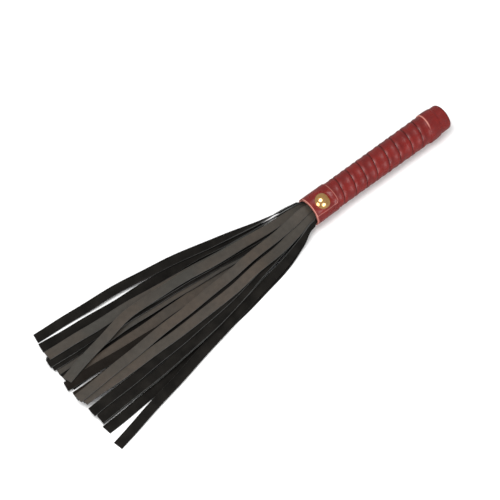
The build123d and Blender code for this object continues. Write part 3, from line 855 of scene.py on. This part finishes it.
def make_lap():
    """The lap as a closed plate on the round: its grid, a rim and a hidden underside."""
    row_count, column_count, top, foot, raw = lap_shape()
    faces = []
    offset = len(top)
    for i in range(row_count - 1):
        for j in range(column_count - 1):
            a, b = i * column_count + j, (i + 1) * column_count + j
            faces.append((a, a + 1, b + 1, b))
            faces.append((offset + a, offset + b, offset + b + 1, offset + a + 1))
    rim = list(range(column_count))
    rim += [(i + 1) * column_count - 1 for i in range(1, row_count)]
    rim += [(row_count - 1) * column_count + j for j in range(column_count - 2, -1, -1)]
    rim += [i * column_count for i in range(row_count - 2, 0, -1)]
    for here, after in zip(rim, rim[1:] + rim[:1]):
        faces.append((here, after, offset + after, offset + here))
    mesh = bpy.data.meshes.new("collar_lap")
    mesh.from_pydata(top + foot, [], faces)
    piece = bpy.data.objects.new("collar_lap", mesh)
    bpy.context.scene.collection.objects.link(piece)
    mark(piece, "raw_edge", raw + raw)
    return piece


def join(name, pieces):
    """Joins meshes into one piece."""
    shape = bmesh.new()
    for piece in pieces:
        shape.from_mesh(piece.data)
        bpy.data.objects.remove(piece)
    mesh = bpy.data.meshes.new(name)
    shape.to_mesh(mesh)
    shape.free()
    joined = bpy.data.objects.new(name, mesh)
    bpy.context.scene.collection.objects.link(joined)
    return joined


collar = join("collar_leather", [collar_ring, make_lap()])
collar.data.materials.append(red_leather)
finish_mesh(collar.data, 50)
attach(collar, "handle")
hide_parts("collar_band")

# ---------------------------------------------------------------------------------------------
# Stud: a brass cap pressed from sheet, domed and polished, with its rim sunk into the lap. It
# is snapped onto the nail that goes through the lap and the roots into the wood.
# ---------------------------------------------------------------------------------------------

STUD_HEIGHT = 0.0048
STUD_SINK = 0.0014
STUD_STEPS = 96


def stud_outline():
    """Half outline of the cap as (radius, height above its seat), from its top down to its sunk rim."""
    ball = (STUD_RADIUS**2 + STUD_HEIGHT**2) / (2 * STUD_HEIGHT)
    widest = math.asin(STUD_RADIUS / ball)
    outline = []
    for step in range(1, 25):
        turned = widest * step / 24 * 0.985
        outline.append((ball * math.sin(turned), STUD_HEIGHT - ball * (1 - math.cos(turned))))
    outline += [(STUD_RADIUS, -0.0003), (STUD_RADIUS - 0.0002, -STUD_SINK)]
    return outline


def on_stud(radius, around, height):
    """A point round the stud's axis, at a height above its seat."""
    x = mouth_x + STUD_X + radius * math.cos(around)
    sideways, outward = radius * math.sin(around), SEAT_RADIUS + height
    y = -outward * math.sin(STUD_ANGLE) + sideways * math.cos(STUD_ANGLE)
    z = outward * math.cos(STUD_ANGLE) + sideways * math.sin(STUD_ANGLE)
    return (x, axis_y + y, axis_z + z)


loops = []
for radius, height in stud_outline():
    loops.append([on_stud(radius, 2 * math.pi * step / STUD_STEPS, height) for step in range(STUD_STEPS)])
stud = skin("brass_stud", loops)
brass, tree, shader = start_material("polished_brass")
scratches = put(tree, "ShaderNodeTexNoise", Vector=object_place(tree, (0.35, 1.6, 1)),
                Scale=2600.0, Detail=4.0).outputs[0]
tarnish = put(tree, "ShaderNodeTexNoise", Vector=object_place(tree), Scale=420.0, Detail=3.0).outputs[0]
gold = tint(tree, spread(tree, tarnish, 0.4, 0.7, 0.0, 0.5), (1.0, 0.60, 0.24, 1), (0.72, 0.33, 0.10, 1))
shader.inputs["Metallic"].default_value = 1.0
feed(tree, shader, gold, spread(tree, scratches, 0.35, 0.7, 0.12, 0.26), scratches, 0.000012)
stud.data.materials.append(brass)
finish_mesh(stud.data, 60)
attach(stud, "handle")
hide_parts("stud_cap")

# ---------------------------------------------------------------------------------------------
# Studio: a white floor that is painted dark grey in reflections, three round soft lights and a
# dim room, seen from above the front.
# ---------------------------------------------------------------------------------------------

floor_mesh = bpy.data.meshes.new("floor")
FLOOR_REACH = 9
corners = [(-FLOOR_REACH, -FLOOR_REACH, 0), (FLOOR_REACH, -FLOOR_REACH, 0),
           (FLOOR_REACH, FLOOR_REACH, 0), (-FLOOR_REACH, FLOOR_REACH, 0)]
floor_mesh.from_pydata(corners, [], [(0, 1, 2, 3)])
floor = bpy.data.objects.new("floor", floor_mesh)
bpy.context.scene.collection.objects.link(floor)
paper, tree, shader = start_material("white_paper")
# painted reflection: the floor is white to the camera and to diffuse light, but dark grey in glossy rays, so
# it shows dark where the brass and leather reflect it
seen_in_reflection = put(tree, "ShaderNodeLightPath").outputs["Is Glossy Ray"]
tree.links.new(tint(tree, seen_in_reflection, (0.95, 0.95, 0.95, 1), (0.25, 0.25, 0.25, 1)), shader.inputs["Base Color"])
shader.inputs["Roughness"].default_value = 0.9
shader.inputs["Specular IOR Level"].default_value = 0.1
floor.data.materials.append(paper)

VIEW_AZIMUTH, VIEW_ELEVATION = math.radians(-39.7), math.radians(60)
VIEW_DISTANCE = 3.4
back = np.array([
    math.sin(VIEW_AZIMUTH) * math.cos(VIEW_ELEVATION),
    -math.cos(VIEW_AZIMUTH) * math.cos(VIEW_ELEVATION),
    math.sin(VIEW_ELEVATION),
])
right = np.array([math.cos(VIEW_AZIMUTH), math.sin(VIEW_AZIMUTH), 0])
up = np.cross(back, right)
mouth = np.array([mouth_x, axis_y, axis_z])


def aim(thing, place, target):
    """Puts a camera or a light at a place, pointed at a target."""
    thing.location = Vector(place)
    thing.rotation_mode = "QUATERNION"
    thing.rotation_quaternion = (Vector(target) - Vector(place)).to_track_quat("-Z", "Y")
    bpy.context.scene.collection.objects.link(thing)


lens = bpy.data.cameras.new("camera")
lens.lens = 244.8
lens.sensor_width = 36
camera = bpy.data.objects.new("camera", lens)
looked_at = mouth - 0.0585 * right - 0.0375 * up
aim(camera, looked_at + VIEW_DISTANCE * back, looked_at)
bpy.context.scene.camera = camera

# each light: degrees away from the camera, direction in the picture, size in metres, watts
LIGHTS = (
    ("falls_light", 54, 212, 0.95, 7.5),
    ("back_light", 27, 120, 0.95, 18.0),
    ("front_light", 44, -49, 0.95, 13.5),
)
LIGHT_DISTANCE = 1.5
for name, away, picture_angle, size, watts in LIGHTS:
    glow = bpy.data.lights.new(name, "AREA")
    glow.shape = "DISK"
    glow.size = size
    glow.energy = watts
    sideways = math.cos(math.radians(picture_angle)) * right + math.sin(math.radians(picture_angle)) * up
    direction = math.cos(math.radians(away)) * back + math.sin(math.radians(away)) * sideways
    aim(bpy.data.objects.new(name, glow), mouth + LIGHT_DISTANCE * direction, mouth - 0.06 * right)

world = bpy.data.worlds.new("studio")
world.use_nodes = True
tree = world.node_tree
room = tree.nodes["Background"]
room.inputs["Color"].default_value = (1, 1, 1, 1)
rays = put(tree, "ShaderNodeLightPath").outputs
strength = spread(tree, rays["Is Glossy Ray"], 0.0, 1.0, 0.60, 0.36)
strength = reckon(tree, "MAXIMUM", strength, rays["Is Camera Ray"])
tree.links.new(strength, room.inputs["Strength"])
bpy.context.scene.world = world
bpy.context.scene.view_settings.view_transform = "Standard"
